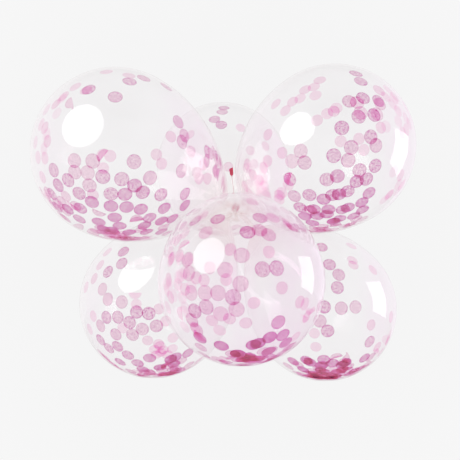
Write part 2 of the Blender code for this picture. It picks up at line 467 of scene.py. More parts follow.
# %% The skin's shape
SKIN_AROUND = 128
SKIN_FAR_STEPS = 44
SKIN_NEAR_STEPS = 60


def near_half(balloon, steps):
    """The drawn-out half: L sin(turn) past the middle, the radius is R cos(turn) to the power 2 q."""
    turn = np.linspace(0.0, balloon.neck_turn, steps)
    return balloon.radius * np.cos(turn) ** (2 * balloon.power), balloon.length * np.sin(turn)


def skin_profile(balloon):
    """Radii and distances past the middle, from the far pole to the inside of the knot."""
    far = np.linspace(-math.pi / 2, 0.0, SKIN_FAR_STEPS, endpoint=False)
    near_radius, near_past = near_half(balloon, SKIN_NEAR_STEPS)
    neck_end = [NECK_RADIUS, NECK_RADIUS / 2, 0.0]
    knot_middle = balloon.knot_bottom + KNOT_LENGTH / 2
    neck_past = [balloon.knot_bottom, knot_middle, knot_middle]
    radius = np.concatenate([balloon.radius * np.cos(far), near_radius, neck_end])
    radius[0] = 0.0
    return radius, np.concatenate([balloon.radius * np.sin(far), near_past, neck_past])


for balloon in BALLOONS:
    height = balloon.radius + balloon.knot_bottom
    print(balloon.name, "is", round(height / MM), "mm from its far pole to its knot")

# %% Profiles carried round an axis
ALMOST_UPRIGHT = 0.9


def full_turn(steps):
    """Angles spread evenly over a whole turn."""
    return np.linspace(0.0, math.tau, steps, endpoint=False)


def circle_round(axis, turns):
    """Directions at right angles to an axis: one side times the cosine, the other times the sine."""
    level_axis = abs(axis[2]) < ALMOST_UPRIGHT
    side = unit(np.cross(axis, (0.0, 0.0, 1.0) if level_axis else (1.0, 0.0, 0.0)))
    return side * np.cos(turns)[:, None] + np.cross(axis, side) * np.sin(turns)[:, None]


def carried_round(centre, axis, radius, past, turns):
    """A grid of points from a profile turned round an axis: centre + axis * past + radius * outwards.

    radius and past have a row for each of the profile's points, and one column or one for each turn.
    """
    return centre + axis * past[..., None] + radius[..., None] * circle_round(axis, turns)


# %% [markdown]
# Where two balloons touch, each is pressed flat against the other. A plane through the tie parts
# them, and points past it move back on to it. A soft step in place of a sharp one rounds the rim of
# the flat, because rubber never creases there.

# %% Where balloons press on each other
PRESS_PASSES = 4
PRESS_SOFTNESS = 0.7 * MM
PRESS_REACH = 8 * PRESS_SOFTNESS


def pressing_planes(balloon):
    """Unit normals of the planes through the tie that part this balloon from each of the others."""
    normals = []
    for other in BALLOONS:
        if other is balloon:
            continue
        share = balloon.half_width / (balloon.half_width + other.half_width)
        between = unit(other.axis - balloon.axis * (balloon.axis @ other.axis))
        turn = math.acos(balloon.axis @ other.axis) * share
        normals.append(between * math.cos(turn) - balloon.axis * math.sin(turn))
    return np.array(normals)


def soft_step(past):
    """Zero well before the plane and the distance past it beyond, with a round bend between."""
    return PRESS_SOFTNESS * np.logaddexp(0.0, past / PRESS_SOFTNESS) * (past > -PRESS_REACH)


def pressed(points, balloon):
    """Moves points past a plane back on to it, and those under the floor's level up to it."""
    for _ in range(PRESS_PASSES):
        for normal in pressing_planes(balloon):
            past = (points - TIE) @ normal + CLEARANCE / 2
            points = points - soft_step(past)[..., None] * normal
    points[..., 2] = np.maximum(points[..., 2], 0.0)
    return points


for balloon in BALLOONS:
    tilts = np.degrees(np.arcsin(pressing_planes(balloon) @ -balloon.axis))
    print(balloon.name, "is pressed at", np.round(np.sort(tilts), 1), "degrees from its axis")

# %% [markdown]
# A grid of points becomes a mesh in one call. Its seam is closed, because the faces wrap round from
# the last column to the first, and its poles are closed by merging the points that meet there. What
# a finish needs to know at each point is kept with the mesh, as an attribute or a UV map.

# %% Making meshes from grids
SAME_POINT = 0.01 * MM


def finish_mesh(name, points, faces, material, smooth=True):
    """A mesh object at the origin, with its place in its mesh."""
    mesh = bpy.data.meshes.new(name)
    mesh.from_pydata(points.reshape(-1, 3).tolist(), [], faces.tolist())
    mesh.polygons.foreach_set("use_smooth", np.full(len(faces), smooth))
    mesh.materials.append(material)
    return new_object(name, mesh)


def grid_faces(rows, columns):
    """Four-sided faces between the rows of a grid, joined round its seam."""
    row, column = np.meshgrid(np.arange(rows - 1), np.arange(columns), indexing="ij")
    after = (column + 1) % columns
    here, beyond = row * columns, (row + 1) * columns
    corners = [here + column, here + after, beyond + after, beyond + column]
    return np.stack(corners, -1).reshape(-1, 4)


def close_poles(made):
    """Merges the points of a grid that meet at its poles, and points the faces outwards."""
    work = bmesh.new()
    work.from_mesh(made.data)
    bmesh.ops.remove_doubles(work, verts=work.verts, dist=SAME_POINT)
    bmesh.ops.recalc_face_normals(work, faces=work.faces)
    work.to_mesh(made.data)
    work.free()


def add_values(made, name, values):
    """Keeps one number for each point of the mesh, for its material to read."""
    kept = made.data.attributes.new(name, "FLOAT", "POINT")
    kept.data.foreach_set("value", np.asarray(values, np.float32).ravel())


def turned_piece(name, points, material, **values):
    """A closed piece from a grid that is carried round, with values for its material to read."""
    made = finish_mesh(name, points, grid_faces(*points.shape[:2]), material)
    for kind, numbers in values.items():
        add_values(made, kind, numbers)
    close_poles(made)
    return made


def lay_out(made, chart, places):
    """Gives the mesh a UV map in which each of its points has its own place."""
    corner_points = np.empty(len(made.data.loops), int)
    made.data.loops.foreach_get("vertex_index", corner_points)
    laid = made.data.uv_layers.new(name=chart)
    laid.data.foreach_set("uv", places.reshape(-1, 2)[corner_points].ravel())


def count_triangles(made):
    """How many triangles a mesh has."""
    return sum(len(face.vertices) - 2 for face in made.data.polygons)


# %% [markdown]
# The skin's finish. Clear rubber takes a little of the light that goes through it, mirrors more of
# it the flatter one looks along it, and is faintly milky. It is one thin sheet, so no glass shader
# with an inside and an outside is needed: a see-through shader is mixed with a little matt white and
# with a mirror. The mirror's share follows Schlick's formula for both faces of the sheet together.
# Rubber that is stretched less stays thicker, so near the neck the skin turns amber and milkier. Seen
# at a flat angle, the way through the sheet is longer, so a faint grey line draws the outline of every
# balloon but the front one, whose rim is pale against the pinks behind it.
# A painted pink reflection on the skins' sides stands for the glow of the discs mirrored in them. On the
# front balloon this painted reflection is a haze all over, but for one clear patch.

# %% The skin's finish
MIRROR_SHARE = 0.05
SCHLICK_POWER = 5.0
OUTLINE_MIRROR_LOSS = 0.4
INNER_MIRROR_LOSS = 0.5
MILK_SHARE = 0.03
NECK_MILK = 0.20
MILK_WISPS = 38.0
MILK_UNEVEN = (0.6, 1.4)
MILK_SLANT = 1.12
MILK_LIT_FROM_BEHIND = 0.85
OUTLINE_POWER = 4.0
# The pink bloom is a painted reflection of the discs' glow: these are its clouds.
PAINTED_REFLECTION_CLOUDS = 17.0
PAINTED_REFLECTION_CLOUD_EDGES = (0.3, 0.7)
PAINTED_REFLECTION_UNEVEN = (0.35, 1.0)
RIPPLES = 22.0
RIPPLE_DEPTH = 0.6 * MM
RIPPLE_STRENGTH = 0.05
MIXED_IN_AT_MOST = 0.9
SKIN_CLEAR = (0.985, 0.978, 0.982, 1.0)
SKIN_OUTLINE = (0.90, 0.885, 0.88, 1.0)
# The tint of the painted pink reflection.
SKIN_PAINTED_REFLECTION = (0.985, 0.895, 0.965, 1.0)
SKIN_AMBER = (0.99, 0.968, 0.955, 1.0)
SKIN_MILK = (0.95, 0.92, 0.93, 1.0)
SKIN_CREAM = (0.99, 0.93, 0.91, 1.0)
SKIN_ROUGHNESS = 0.07


def skin_material():
    """Clear rubber: see-through, faintly milky, and a mirror at flat angles.

    The mirror's share is m + (1 - m) * facing to the fifth, and the milk's share is divided by
    MILK_SLANT - facing. facing is 0 where one looks straight at the skin and 1 at its outline.
    """
    made, start = new_material("clear_rubber")
    place = place_on(start)
    thick = value_of(start, "thickness")
    edge = value_of(start, "edge")
    bloom = value_of(start, "bloom")
    facing = start.add("ShaderNodeLayerWeight", None, {"Blend": 0.5}, "Facing")
    inside = start.add("ShaderNodeNewGeometry", None, None, "Backfacing")

    dulled = 1 - OUTLINE_MIRROR_LOSS * edge
    mirror = MIRROR_SHARE + (1 - MIRROR_SHARE) * facing ** SCHLICK_POWER * dulled
    mirror = mirror * (1 - INNER_MIRROR_LOSS * inside)
    ripple = raised(noise(start, place, RIPPLES), RIPPLE_STRENGTH, RIPPLE_DEPTH)
    gloss = start.add(
        "ShaderNodeBsdfAnisotropic", None,
        {"Color": WHITE, "Roughness": SKIN_ROUGHNESS, "Normal": ripple},
    )

    # Painted reflection: a pink tint in clouds on the skins' sides, for the glow of the discs mirrored in
    # them.
    clouds = rising(noise(start, place, PAINTED_REFLECTION_CLOUDS, roughness=0.55), PAINTED_REFLECTION_CLOUD_EDGES)
    bloom = bloom * ranged(clouds, PAINTED_REFLECTION_UNEVEN)
    through = blend_shaders(bloom, see_through(start, SKIN_CLEAR), see_through(start, SKIN_PAINTED_REFLECTION))
    through = blend_shaders(facing ** OUTLINE_POWER * edge, through, see_through(start, SKIN_OUTLINE))
    through = blend_shaders(thick, through, see_through(start, SKIN_AMBER))

    wisps = noise(start, place, MILK_WISPS, detail=3.0, roughness=0.6)
    milk = (MILK_SHARE * ranged(wisps, MILK_UNEVEN) + NECK_MILK * thick) / (MILK_SLANT - facing)
    tone = mixed(thick, SKIN_MILK, SKIN_CREAM)
    matt = blend_shaders(
        MILK_LIT_FROM_BEHIND, start.add("ShaderNodeBsdfDiffuse", None, {"Color": tone}),
        start.add("ShaderNodeBsdfTranslucent", None, {"Color": tone}),
    )
    milky = blend_shaders(milk.clipped(0.0, MIXED_IN_AT_MOST), through, matt)
    show(blend_shaders(mirror.clipped(0.0, MIXED_IN_AT_MOST), milky, gloss))
    return made


rubber = skin_material()
print("the skin's finish has", len(rubber.node_tree.nodes), "nodes")

# %% [markdown]
# At the neck the rubber gathers in fine pleats, which die away over a few centimetres. Each skin keeps
# three numbers at each of its points for the finish: how thick the rubber is there, how strong its
# painted pink reflection is and whether its outline is drawn in grey.

# %% The skins
THICKNESS_RANGE = 2.6
NECK_PLEATS = 13
PLEAT_DEPTH = 0.13
PLEAT_LENGTH = 14 * MM
# Where the painted pink reflection lies: on the sides, less on the left, and as a painted haze over the
# front balloon.
PAINTED_REFLECTION_ASIDE = (0.45, 0.85)
LEFT_PAINTED_REFLECTION = 0.4
FRONT_PAINTED_HAZE = 1.4
FRONT_PAINTED_HAZE_ASIDE = (-0.35, 0.15)
FRONT_PAINTED_HAZE_LEAST = 0.2
CLEAR_PATCH_MIDDLE = (0.034, -0.010)
CLEAR_PATCH_SIZE = (0.026, 0.048)


def share_between(value, low, high):
    """Zero below low, one above high and even in between."""
    return np.clip((value - low) / (high - low), 0.0, 1.0)


def view_axes(balloon):
    """Right, up and towards the viewer, as the camera sees this balloon."""
    toward = unit(CAMERA_PLACE - balloon.centre)
    right = unit(np.cross(camera_up, toward))
    return right, np.cross(toward, right), toward


def bloom_on(balloon, points):
    """How strong the painted pink reflection is: on the sides, and all over the front balloon but for one
    clear patch.
    """
    away = (points.reshape(-1, 3) - balloon.centre) @ np.array(view_axes(balloon)).T
    aside = away[:, 0] / np.linalg.norm(away, axis=-1)
    # Painted reflection, stronger on the viewer's right than on the left.
    bloom = share_between(np.abs(aside), *PAINTED_REFLECTION_ASIDE) * np.where(aside > 0, 1.0, LEFT_PAINTED_REFLECTION)
    if balloon.name != "front":
        return bloom
    from_patch = (away[:, :2] - CLEAR_PATCH_MIDDLE) / CLEAR_PATCH_SIZE
    painted_haze = np.maximum(share_between(aside, *FRONT_PAINTED_HAZE_ASIDE), FRONT_PAINTED_HAZE_LEAST)
    return np.maximum(bloom, FRONT_PAINTED_HAZE * painted_haze * (1 - np.exp(-(from_patch ** 2).sum(-1))))


def make_skin(balloon):
    """The balloon's skin: its profile carried round the axis, pleated at the neck and pressed flat."""
    radius, past = skin_profile(balloon)
    turns = full_turn(SKIN_AROUND)
    from_neck = np.maximum(balloon.knot_bottom - past, 0.0)
    pleat = 1 + PLEAT_DEPTH * np.exp(-from_neck / PLEAT_LENGTH)[:, None] * np.cos(NECK_PLEATS * turns)
    points = carried_round(balloon.centre, -balloon.axis, radius[:, None] * pleat, past[:, None], turns)
    points = pressed(points, balloon)
    stretch = balloon.radius / np.maximum(radius, NECK_RADIUS / 2)
    thick = share_between(stretch, 1.0, 1.0 + THICKNESS_RANGE)
    thick[:SKIN_FAR_STEPS] = 0.0
    # The skin keeps its thickness, its painted pink reflection and whether its outline is grey.
    made = turned_piece(
        "skin_" + balloon.name, points, rubber, thickness=np.repeat(thick, SKIN_AROUND),
        bloom=bloom_on(balloon, points), edge=np.full(points[..., 0].size, float(balloon.name != "front")),
    )
    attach(made, BODY)
    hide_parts("balloon_" + balloon.name)
    return made


for balloon in BALLOONS:
    skin = make_skin(balloon)
    low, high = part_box("balloon_" + balloon.name)
    corners = np.array([v.co for v in skin.data.vertices])
    apart = max(np.abs(corners.min(0) - low).max(), np.abs(corners.max(0) - high).max())
    print(skin.name, count_triangles(skin), "triangles, within", round(apart / MM, 1), "mm of its solid")

# %% [markdown]
# In the knots and tails the rubber isn't stretched, so it is cream and cloudy there. It still lets
# most of the light through, as the knots hardly show in the photograph.

# %% The finish of the knots and tails
CREAM_CLOUDS = 320.0
CREAM_TONES = (0.97, 0.90, 0.87, 1.0), (0.98, 0.95, 0.93, 1.0)
CREAM_CLEAR = (0.99, 0.98, 0.97, 1.0)
CREAM_ROUGHNESS = (0.30, 0.45)
CREAM_SHARE = (0.07, 0.15)
CREASES = 900.0
CREASE_DEPTH = 0.3 * MM
CREASE_STRENGTH = 0.5


def knot_material():
    """Unstretched rubber: mostly clear, with cream clouds in it and fine creases."""
    made, start = new_material("cream_rubber")
    place = place_on(start)
    clouds = noise(start, place, CREAM_CLOUDS, detail=3.0)
    creases = raised(noise(start, place, CREASES, detail=4.0), CREASE_STRENGTH, CREASE_DEPTH)
    cream = start.add(
        "ShaderNodeBsdfPrincipled", None,
        {"Base Color": mixed(clouds, *CREAM_TONES), "Roughness": ranged(clouds, CREAM_ROUGHNESS),
         "Normal": creases},
    )
    share = ranged(clouds, CREAM_SHARE).clipped(0.0, 1.0)
    show(blend_shaders(share, see_through(start, CREAM_CLEAR), cream))
    return made


cream_rubber = knot_material()
print("the finish of the knots has", len(cream_rubber.node_tree.nodes), "nodes")

# %% [markdown]
# Past the body each neck is tied in a knot, and the last of the rubber flares into a tail with a
# rolled lip. The knot is a ring of rubber rolled over itself, and the tail is a thin skirt that waves
# at its mouth. Both are profiles carried round an axis, as the skin is.

# %% Knots and tails
KNOT_AROUND = 48
KNOT_STEPS = 13
KNOT_TWISTS = 5
KNOT_ROLL_DEPTH = 0.07
STUB_RADIUS = 3.4 * MM
STUB_TAPER = 0.7
TAIL_LENGTH = 20.0 * MM
TAIL_STEPS = 14
TAIL_ROOT_RADIUS = 2.8 * MM
TAIL_LIP_RADIUS = 6.2 * MM
TAIL_WALL = 0.35 * MM
LIP_THICKNESS = 2.2 * MM
LIP_STEPS = 12
LIP_TURNS = (-math.pi / 3, math.pi * 1.05)
TAIL_WAVES = 4
TAIL_WAVE_DEPTH = 0.16
TAIL_NARROWING = 0.4
TAIL_TONGUES = 3
TAIL_TONGUE_DEPTH = 0.06


def knot_profile():
    """Radii and distances from the tie: a stub that reaches the tie, then the rolled ring of the knot.

    The ring swells by the sine of the way along the knot.
    """
    along = np.linspace(0.0, 1.0, KNOT_STEPS)
    ring = TIE_RADIUS + CLEARANCE + KNOT_LENGTH * along
    swell = NECK_RADIUS + (KNOT_RADIUS - NECK_RADIUS) * np.sin(math.pi * along)
    stub = [0.0, STUB_RADIUS * STUB_TAPER, STUB_RADIUS, STUB_RADIUS]
    stub_past = [0.0, 0.0, TIE_RADIUS / 2, TIE_RADIUS]
    radius = np.concatenate([stub, swell, [STUB_RADIUS, 0.0]])
    return radius, np.concatenate([stub_past, ring, [ring[-1], ring[-1]]])


def tail_profile():
    """Radii and distances from the root: out along the flare, round the lip's bead and back inside.

    The flare's radius grows with the square of the distance.
    """
    along = np.linspace(0.0, 1.0, TAIL_STEPS)
    bead = LIP_THICKNESS / 2
    turn = np.linspace(*LIP_TURNS, LIP_STEPS)
    flare = TAIL_ROOT_RADIUS + (TAIL_LIP_RADIUS - TAIL_ROOT_RADIUS) * along ** 2
    flare_past = (TAIL_LENGTH - bead) * along
    lip = TAIL_LIP_RADIUS + bead * np.cos(turn)
    lip_past = TAIL_LENGTH - bead + bead * np.sin(turn)
    radius = np.concatenate([[0.0], flare, lip, flare[::-1] - TAIL_WALL, [0.0]])
    return radius, np.concatenate([[0.0], flare_past, lip_past, flare_past[::-1], [TAIL_WALL]])


def make_knot(balloon):
    """The knot: a ring with a twist in it, so that its rolls run slantwise."""
    radius, past = knot_profile()
    turns = full_turn(KNOT_AROUND)
    rolled = (radius > STUB_RADIUS)[:, None]
    twist = KNOT_TWISTS * turns + past[:, None] / KNOT_LENGTH * math.pi
    roll = 1 + KNOT_ROLL_DEPTH * rolled * np.cos(twist)
    points = carried_round(TIE, balloon.axis, radius[:, None] * roll, past[:, None], turns)
    made = turned_piece("knot_" + balloon.name, points, cream_rubber)
    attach(made, BODY)
    return made


def make_tail(balloon):
    """The tail: a flared skirt whose mouth waves, leaning out between two neighbours."""
    beside = [other.axis for other in BALLOONS if other.name in balloon.tail_between]
    lean = unit(balloon.axis + beside[0] + beside[1])
    root = TIE + balloon.axis * (TIE_RADIUS + CLEARANCE + KNOT_LENGTH / 2)
    radius, past = tail_profile()
    turns = full_turn(KNOT_AROUND)
    out = np.clip(past / TAIL_LENGTH, 0.0, 1.0)[:, None]
    wave = 1 + TAIL_WAVE_DEPTH * out ** 2 * (np.cos(TAIL_WAVES * turns) - TAIL_NARROWING)
    tongues = 1 - TAIL_TONGUE_DEPTH * out * (1 + np.sin(TAIL_TONGUES * turns))
    points = carried_round(root, lean, radius[:, None] * wave, past[:, None] * tongues, turns)
    made = turned_piece("tail_" + balloon.name, points, cream_rubber)
    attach(made, BODY)
    return made


for balloon in BALLOONS:
    print(make_knot(balloon).name, make_tail(balloon).name)

# %% [markdown]
# Tissue confetti is thin enough to see through. Most of the light that a disc sends to the eye has
# come through it from behind and is tinted on the way, so that two discs look darker than one and a
# pile looks deep magenta. So the finish is mostly a tinted see-through shader, with some matt pink
# for the light that it throws back. Fibres and crinkles make both uneven. Tissue is cut in stacks, and
# some discs still cling together, so each disc has a weight of its own, called its layers. It is below
# zero for the discs that are no more than a veil in the photograph, as many on the far walls are.

# %% The tissue's finish
TISSUE_TINTS = [
    (-0.2, (0.995, 0.84, 0.925, 1.0)),
    (0.0, (0.97, 0.67, 0.82, 1.0)),
    (0.44, (0.83, 0.56, 0.68, 1.0)),
    (1.0, (0.58, 0.215, 0.43, 1.0)),
]
TISSUE_LIGHT = (0.84, 0.50, 0.62, 1.0)
TISSUE_DARK = (0.62, 0.28, 0.50, 1.0)
TISSUE_GLOW = (0.75, 0.42, 0.515, 1.0)
TISSUE_ROUGHNESS = 0.85
TISSUE_SHINE = 0.2
DARKNESS = 0.15
DARKER_BY_TONE = 0.5
DARKER_BY_FIBRES = 1.8
DARKER_BY_LAYERS = 0.3
DARKER_AT_RIM = 0.5
LIT_THROUGH = 0.3
FIBRES = 3.0
FIBRE_WEIGHT = 6.0
STREAKS = 2.4
STREAK_STRETCH = (1.0, 6.0, 1.0)
STREAK_WEIGHT = 2.4
THIN_UNEVEN = 0.12
CRINKLE_DEPTH = 0.3 * MM
CRINKLE_STRENGTH = 0.6
RIM_POWER = 9.0
RIM_WEIGHT = 0.9
LEAST_BODY = 0.02
LAYER_BODY = 0.2
THICK_BODY = 0.60
RIM_BODY = 0.32
BODY_UNEVEN = (0.5, 1.0)
BODY_BY_STREAKS = 0.3


def tissue_material():
    """Pink tissue paper: a tinted filter, mixed with matt pink by a fibrous pattern.

    The weight is the disc's layers, uneven by its fibres and streaks and greater at its rim. The
    filter's tint goes evenly from one of the tints to the next as the weight grows. The matt pink's
    share grows with the square of the layers.
    """
    made, start = new_material("pink_tissue")
    sheet = chart_place(start, "sheet")
    tone = value_of(start, "tone")
    layers = value_of(start, "layers")
    rim = value_of(start, "rim") ** RIM_POWER
    fibres = noise(start, sheet, FIBRES, detail=5.0, roughness=0.75)
    stretched = start.add("ShaderNodeMapping", None, {"Vector": sheet, "Scale": STREAK_STRETCH})
    streaks = noise(start, stretched, STREAKS, detail=3.0)

    darkness = DARKER_BY_TONE * tone + DARKER_BY_FIBRES * (fibres - 0.5)
    darkness = darkness + DARKER_BY_LAYERS * layers + DARKER_AT_RIM * rim + DARKNESS
    paper = start.add(
        "ShaderNodeBsdfPrincipled", None,
        {"Base Color": mixed(darkness.clipped(0.0, 1.0), TISSUE_LIGHT, TISSUE_DARK),
         "Roughness": TISSUE_ROUGHNESS, "Specular IOR Level": TISSUE_SHINE,
         "Normal": raised(streaks, CRINKLE_STRENGTH, CRINKLE_DEPTH)},
    )
    glow = start.add("ShaderNodeBsdfTranslucent", None, {"Color": TISSUE_GLOW})
    paper = blend_shaders(LIT_THROUGH, paper, glow)

    uneven = FIBRE_WEIGHT * (fibres - 0.5) + STREAK_WEIGHT * (streaks - 0.5)
    weight = layers + (THIN_UNEVEN + layers) * uneven + RIM_WEIGHT * rim * layers
    tinted = see_through(start, TISSUE_TINTS[0][1])
    for (lighter, _), (heavier, tint) in zip(TISSUE_TINTS, TISSUE_TINTS[1:]):
        share = ((weight - lighter) / (heavier - lighter)).clipped(0.0, 1.0)
        tinted = blend_shaders(share, tinted, see_through(start, tint))

    solid = layers.maths("MAXIMUM", layers, 0.0)
    body = (LEAST_BODY + LAYER_BODY * solid) * (ranged(fibres, BODY_UNEVEN) + BODY_BY_STREAKS * streaks)
    body = body + THICK_BODY * solid ** 2.0 + RIM_BODY * rim * solid
    show(blend_shaders(body.clipped(0.0, 1.0), tinted, paper))
    return made


tissue = tissue_material()
print("the tissue's finish has", len(tissue.node_tree.nodes), "nodes")

# %% [markdown]
# The discs lie against the inside of the skin, so the skin's reach in any direction from the middle
# is needed. It is read from the profile and then cut short by the pressing planes and the floor.
# A disc that stands out in the photograph is seen along a sight line from the camera. That line meets
# the skin twice, on the near wall and on the far wall.

# %% Where the skin is
PROFILE_STEPS = 200
SIGHT_STEPS = 400
SIGHT_REACH = 1.5
ALMOST_NONE = 1e-6


def cut_short(reach, room, toward):
    """The reach, cut short at a plane that is room away. toward is the ways' share towards it."""
    to_plane = room / np.maximum(toward, ALMOST_NONE)
    return np.where(toward > ALMOST_NONE, np.minimum(reach, to_plane), reach)


def skin_reach(balloon, ways):
    """How far the skin is from the middle in the given directions."""
    radius, past = near_half(balloon, PROFILE_STEPS)
    slant = np.arctan2(radius, past)
    turn = np.arccos(np.clip(ways @ -balloon.axis, -1.0, 1.0))
    reach = np.interp(turn, slant[::-1], np.hypot(radius, past)[::-1])
    for normal in pressing_planes(balloon):
        room = -((balloon.centre - TIE) @ normal + CLEARANCE / 2)
        reach = cut_short(reach, room, ways @ normal)
    return cut_short(reach, balloon.centre[2], -ways[..., 2])


def sighted(balloon, spots, far_wall):
    """Directions from the middle to where sight lines through the spots meet the near or far wall."""
    right, up, _ = view_axes(balloon)
    spots = np.array(spots, float).reshape(-1, 2) * MM
    aimed = balloon.centre + spots[:, :1] * right + spots[:, 1:] * up
    lines = unit(aimed - CAMERA_PLACE)
    middle = np.linalg.norm(balloon.centre - CAMERA_PLACE)
    distance = middle + np.linspace(-SIGHT_REACH, SIGHT_REACH, SIGHT_STEPS) * balloon.radius
    points = CAMERA_PLACE + lines[:, None, :] * distance[:, None] - balloon.centre
    room = skin_reach(balloon, unit(points)) - np.linalg.norm(points, axis=-1)
    inside = room > 0
    first = np.argmax(inside, axis=1)
    last = SIGHT_STEPS - 1 - np.argmax(inside[:, ::-1], axis=1)
    nearest = np.argmax(room, axis=1)
    chosen = np.where(inside.any(axis=1), last if far_wall else first, nearest)
    return unit(points[np.arange(len(spots)), chosen])


for balloon in BALLOONS:
    walls = [sighted(balloon, (0, 0), far_wall)[0] for far_wall in (False, True)]
    near_wall, far_wall = skin_reach(balloon, np.array(walls)) / MM
    print(balloon.name, "is", round(near_wall), "mm deep to its near wall,", round(far_wall), "to its far")

# %% [markdown]
# The discs that stand out in the photograph are listed one by one, in millimetres to the right of and
# above the balloon's middle as the viewer sees it. One list has those on the near wall and one has
# those on the far wall, which look paler. Two more have discs of the near wall: those of thinner
# tissue, and those with a weight or a fold of their own.

# %% The discs that stand out
DISCS_NEAR = {
    "top_left": [
        (-6, 106), (20, 134), (46, 141), (88, 127), (-54, 117), (111, 63), (124, 38), (119, 26), (29, -13),
        (6, -46), (59, -43), (30, -58), (45, -70), (12, -75), (-14, -74), (79, -74), (-29, -42), (-73, -74),
        (-49, -89), (-14, -97), (15, -98), (42, -103), (86, -100), (-7, -118), (-37, -127), (2, -135),
        (-70, -101), (-93, -103), (-112, -99), (-121, -75), (-111, -59), (-118, -31), (-92, -49),
        (118, -29), (126, -73), (126, -95), (59, -119), (49, -134), (81, -125), (103, -121), (53, -146),
        (81, -145), (-13, -142), (20, -146), (-28, -140), (-72, -121), (167, 8), (167, -9), (186, -1),
        (189, -35), (184, -28),
    ],
    "top_right": [
        (44, 136), (53, 121), (57, 90), (32, 85), (49, 56), (77, 58), (85, 84), (18, 36), (36, -1),
        (72, 18), (81, 2), (3, -16), (30, -25), (80, -36), (51, -44), (46, -65), (64, -61), (10, -55),
        (-10, -61), (69, -87), (56, -105), (1, -91), (13, -90), (29, -84), (-7, -118), (20, -118),
        (30, -115), (57, -119), (41, -131), (3, -141), (-29, -131), (-35, -118), (-16, -99), (-52, -131),
        (-38, -145), (14, -136), (-10, -128),
    ],
    "front": [
        (37, 21), (62, 23), (49, -96), (72, -92), (21, -109), (29, -106), (-34, -110), (-6, -123),
        (47, -119), (76, -104), (11, 85), (33, 110), (-41, 108), (-14, -27), (-71, -97), (-80, -51),
    ],
    "lower_left": [
        (-67, 106), (-70, 81), (-97, 63), (-39, -20), (-14, -23), (-77, -30), (-53, -41), (-27, -55),
        (-47, -66), (2, -49), (-100, -30), (-81, -65), (-77, -89), (-56, -107), (-12, -114), (-36, -123),
        (-95, -93), (-111, -75), (-72, -121), (-26, -136), (67, -106), (41, -112), (31, -117), (39, -128),
        (9, -134),
    ],
    "lower_right": [
        (13, 90), (32, 69), (29, 42), (37, 0), (2, 2), (-7, -27), (9, -47), (-4, 127), (94, -67),
        (83, -100), (-34, -107), (-27, -111), (-62, -111), (-41, -127), (1, -105), (-4, -117), (19, -112),
        (39, -115), (45, -110),
    ],
    "back": [(3, 139), (-1, 130), (-19, 114), (-3, 101)],
}
DISCS_THIN = {
    "top_left": [(-81, -13), (-47, -13), (-80, -34), (-57, -35), (-53, -58)],
    "top_right": [(-52, -28), (-81, -60), (-42, -120)],
    "front": [(-93, 38), (-40, -20), (-1, -4), (-60, -44), (-85, -67), (-80, 106), (-8, -48), (-77, -82)],
    "lower_left": [(-109, 28), (-97, 7), (-69, 1), (-112, -47)],
    "lower_right": [(66, 3)],
    "back": [],
}
DISCS_FAR = {
    "top_left": [
        (19, 145), (-22, 150), (-78, 122), (97, 35), (70, 1), (80, -16), (-134, -9), (-129, 22), (-133, 46),
        (-138, -44), (-15, -3), (-47, -75), (-28, -26), (-99, 104), (-113, 90), (159, -16), (136, 8),
        (152, -43), (168, -43), (-59, 116),
    ],
    "top_right": [
        (8, 73), (3, 67), (-9, 63), (-23, 126), (-34, 113), (-50, 108), (-31, 98), (-60, 93), (-74, 87),
        (-106, 84), (-88, 71), (16, 11), (50, 15), (59, -6), (-95, -9), (-123, -24), (-152, -50),
        (-162, -30), (-101, -90), (-96, -85), (-168, -73), (-84, -71), (90, 35), (-28, 51), (-121, 26),
    ],
    "front": [
        (20, 139), (-19, 55), (100, -35), (70, -11), (8, -71), (48, 51), (-107, 44), (-78, 6), (-111, 72),
        (-121, 39), (-125, 3), (-122, -27), (-26, 3), (-54, 23), (-50, -67), (22, -37), (-64, 2),
        (-20, -64), (-37, -84),
    ],
    "lower_left": [
        (7, -14), (21, -39), (-67, -52), (-16, -78), (36, -74), (9, -89), (6, -85), (11, -103), (34, -95),
        (-99, 104), (-113, 77), (-126, 50), (-141, 32), (-126, -27), (-133, -53), (2, -107), (-39, -4),
        (16, -98), (-2, -96), (24, -107),
    ],
    "lower_right": [
        (-18, -52), (-15, -80), (58, 129), (60, 99), (97, -33), (102, 80), (135, 80), (138, -16),
        (109, -77), (62, 90),
    ],
    "back": [],
}
